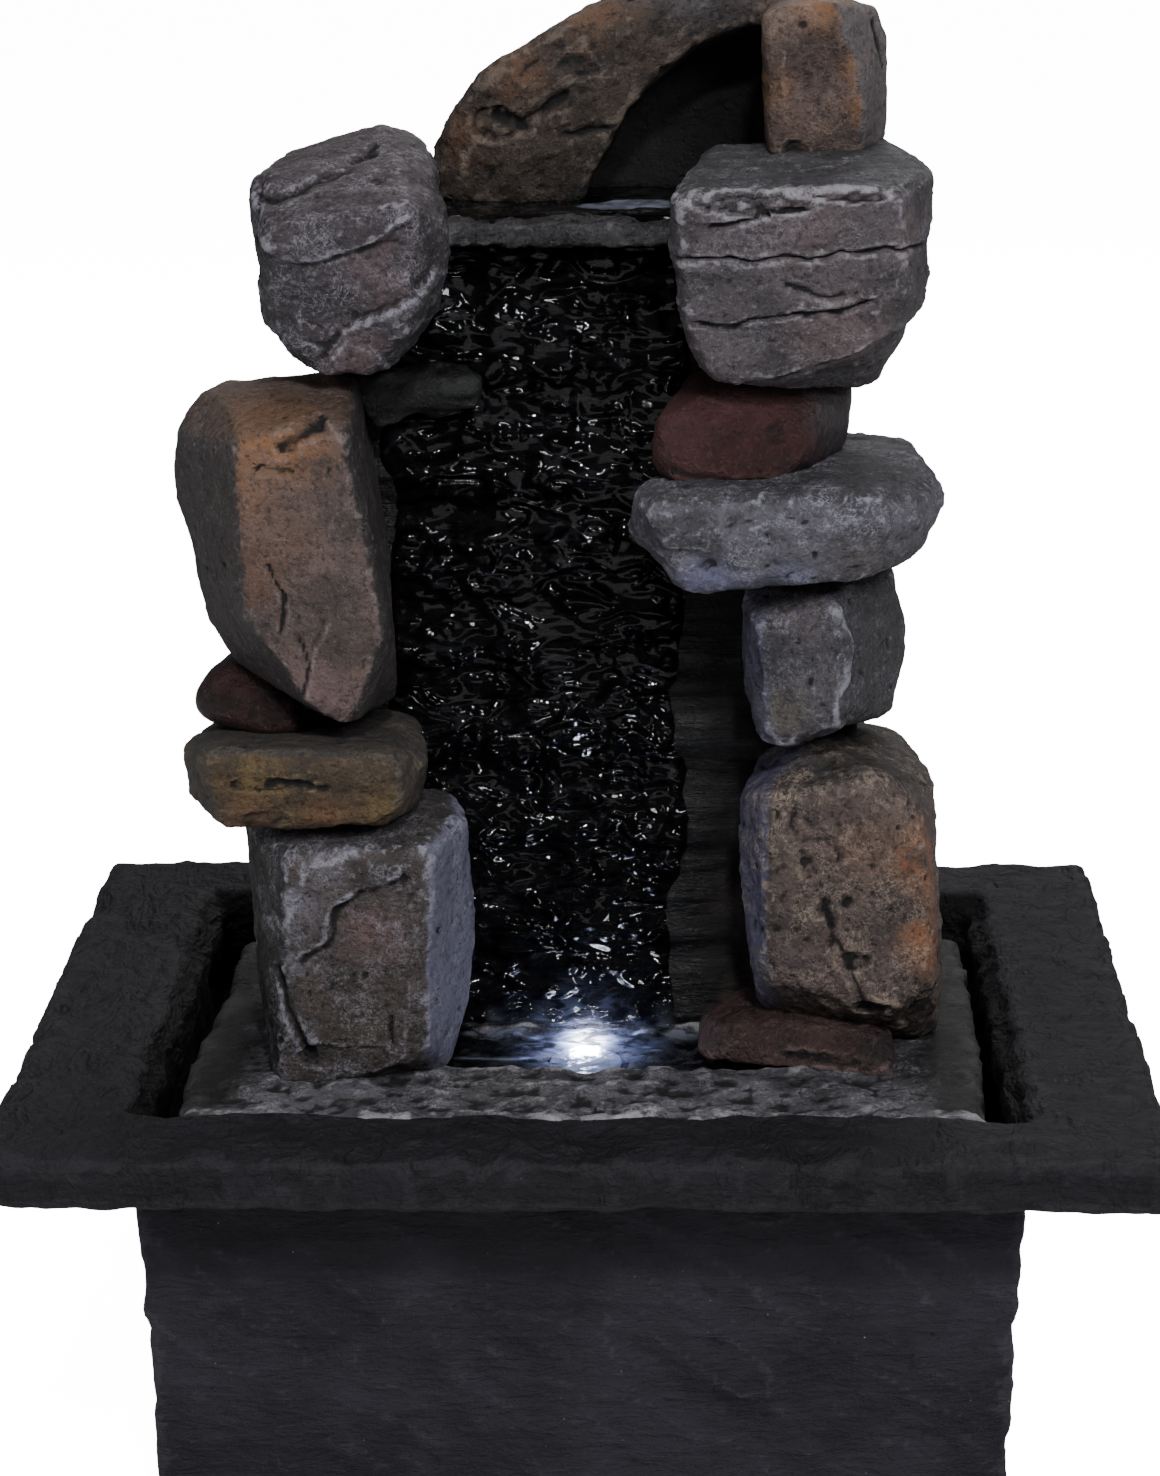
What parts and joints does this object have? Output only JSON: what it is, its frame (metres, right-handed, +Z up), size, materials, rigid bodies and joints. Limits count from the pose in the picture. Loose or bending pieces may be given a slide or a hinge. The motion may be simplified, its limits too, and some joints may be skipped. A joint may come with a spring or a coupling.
{
  "type": "tabletop water fountain",
  "caption": "Tabletop fountain: stacked painted boulders flank a dark fall wall with an arch stone on top, on a plinth with a lit pool in a slate-look basin.",
  "frame": {"origin": "middle of the footprint, on the surface the feet stand on", "axes": "+Z up, +X to the viewer's right, -Y to the front, where the water falls"},
  "size_m": [0.21, 0.165, 0.28],
  "materials": {
    "slate": "charcoal slate-look cast resin, rough",
    "plinth_grey": "rough grey cast resin with light dry-brushed crests",
    "wet_rock": "near-black cast resin, wet and glossy",
    "stone_grey": "hand-painted grey stone, pitted",
    "stone_mauve": "hand-painted grey-mauve stone with strata cracks",
    "stone_brown": "hand-painted brown stone with orange edges",
    "stone_ochre": "hand-painted ochre stone",
    "stone_red": "dark red painted stone, satin",
    "rubber": "black rubber",
    "clear_vinyl": "milky soft vinyl",
    "pump_black": "black moulded ABS",
    "dial_blue": "blue moulded plastic",
    "white_plastic": "white plastic",
    "ferrite": "dark sintered magnet",
    "ceramic": "white ceramic rod",
    "lamination_iron": "stacked iron laminations",
    "copper_winding": "lacquered copper wire, taped",
    "lamp_glass": "clear domed lamp lens, glowing cold white",
    "emitter_yellow": "yellow phosphor chip"
  },
  "bodies": {
    "base": {"basin": "slate", "cable_grommet": "rubber", "foot_front_left": "rubber", "foot_front_right": "rubber", "foot_back_left": "rubber", "foot_back_right": "rubber", "pump_housing": "pump_black", "pump_cover": "pump_black", "front_bush": "rubber", "rear_bush": "rubber", "rotor_shaft": "ceramic", "stator_core": "lamination_iron", "coil": "copper_winding", "potting": "pump_black", "suction_cup_1": "rubber", "suction_cup_2": "rubber", "suction_cup_3": "rubber", "suction_cup_4": "rubber"},
    "tower": {"plinth": "plinth_grey", "fall_wall": "wet_rock", "spill_lip": "stone_grey", "block_lower_left": "stone_grey", "block_lower_right": "stone_brown", "flat_stone_lower_right": "stone_red", "slab_lower_left": "stone_ochre", "block_middle_right": "stone_grey", "slab_middle_right": "stone_grey", "red_stone_right": "stone_red", "tall_block_left": "stone_brown", "pebble_left": "stone_red", "block_upper_left": "stone_mauve", "block_upper_right": "stone_mauve", "block_top_right": "stone_ochre", "arch_stone": "stone_brown", "fall_ledge_stone": "stone_grey", "riser_tube": "clear_vinyl", "lamp_housing": "pump_black", "lamp_lens": "lamp_glass", "lamp_seal": "rubber", "lamp_board": "white_plastic", "lamp_emitter": "emitter_yellow", "lamp_lead": "rubber", "lamp_plug": "rubber"},
    "rotor": {"impeller": "white_plastic", "rotor_magnet": "ferrite"},
    "flow_dial": {"flow_dial": "dial_blue"}
  },
  "joints": [
    {"name": "tower_lift", "type": "slide", "parent": "base", "child": "tower", "axis": [0, 0, 1], "range_m": [0, 0.08]},
    {"name": "rotor_spin", "type": "hinge", "parent": "base", "child": "rotor", "pos_m": [0.004, 0.023, 0.0385], "axis": [0, 1, 0], "continuous": true},
    {"name": "flow_dial_turn", "type": "hinge", "parent": "base", "child": "flow_dial", "pos_m": [0.004, 0.011, 0.0385], "axis": [0, 1, 0], "range_deg": [0, 30]}
  ]
}
